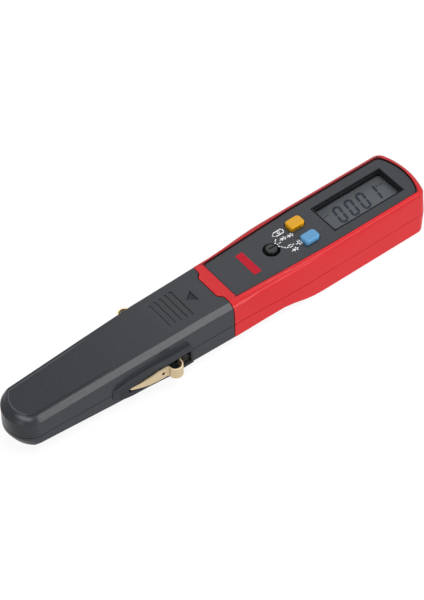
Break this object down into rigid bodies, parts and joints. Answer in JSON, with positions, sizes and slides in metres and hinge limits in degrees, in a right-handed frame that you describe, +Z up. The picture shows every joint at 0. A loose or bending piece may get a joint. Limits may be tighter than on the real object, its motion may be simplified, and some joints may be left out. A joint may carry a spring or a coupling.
{
  "type": "component tester",
  "caption": "Pen-shaped component tester with a display, two keys and a range knob, and a slide-off cap with side terminals over test tweezers.",
  "frame": {"origin": "below the middle of the closed tester, in the plane of the display section's underside", "axes": "+X from the cap's tip to the display end, +Y to the side of the yellow key, +Z up out of the control panel"},
  "size_m": [0.175, 0.0342, 0.0219],
  "materials": {
    "cap_plastic": "satin",
    "red_plastic": "satin",
    "panel_plastic": "matte",
    "knob_plastic": "gloss",
    "chip_plastic": "matte",
    "yellow_key": "satin",
    "blue_key": "satin",
    "clear": "gloss",
    "display": "gloss",
    "board": "satin",
    "rubber": "matte",
    "brass": "polished",
    "steel": "brushed"
  },
  "bodies": {
    "case": {"upper_case": "red_plastic", "lower_case": "red_plastic", "control_panel": "panel_plastic", "display_frame": "panel_plastic", "display_lens": "clear", "display_glass": "display", "contact_strips": "rubber", "circuit_board": "board", "main_chip": "chip_plastic", "buzzer": "chip_plastic", "rotary_switch": "chip_plastic", "contact_domes": "steel", "coin_cell": "steel", "battery_clip": "steel", "battery_cover": "red_plastic", "battery_cover_screw": "steel", "case_screw": "steel", "probe_neck": "cap_plastic"},
    "cap": {"cap_upper": "cap_plastic", "cap_lower": "cap_plastic", "left_terminal": "brass", "right_terminal": "brass", "terminal_screws": "steel"},
    "left_arm": {"left_tweezer": "brass", "left_grip": "cap_plastic"},
    "right_arm": {"right_tweezer": "brass", "right_grip": "cap_plastic"},
    "knob": {"range_knob": "knob_plastic"},
    "yellow_key": {"yellow_button": "yellow_key"},
    "blue_key": {"blue_button": "blue_key"}
  },
  "joints": [
    {"name": "cap_slide", "type": "slide", "parent": "case", "child": "cap", "axis": [-1, 0, 0], "range_m": [0, 0.09]},
    {"name": "left_arm_flex", "type": "hinge", "parent": "case", "child": "left_arm", "pos_m": [-0.004, 0.0056, 0.0115], "axis": [0, 0, 1], "range_deg": [0, 1.5], "stiffness_Nm_per_rad": 1.5},
    {"name": "right_arm_flex", "type": "hinge", "parent": "case", "child": "right_arm", "pos_m": [-0.004, -0.0056, 0.0115], "axis": [0, 0, -1], "range_deg": [0, 1.5], "stiffness_Nm_per_rad": 1.5},
    {"name": "knob_turn", "type": "hinge", "parent": "case", "child": "knob", "pos_m": [0.0247, 0, 0.017], "axis": [0, 0, 1], "range_deg": [-60, 60]},
    {"name": "yellow_press", "type": "slide", "parent": "case", "child": "yellow_key", "axis": [0, 0, -1], "range_m": [0, 0.0008], "stiffness_N_per_m": 1500},
    {"name": "blue_press", "type": "slide", "parent": "case", "child": "blue_key", "axis": [0, 0, -1], "range_m": [0, 0.0008], "stiffness_N_per_m": 1500}
  ]
}
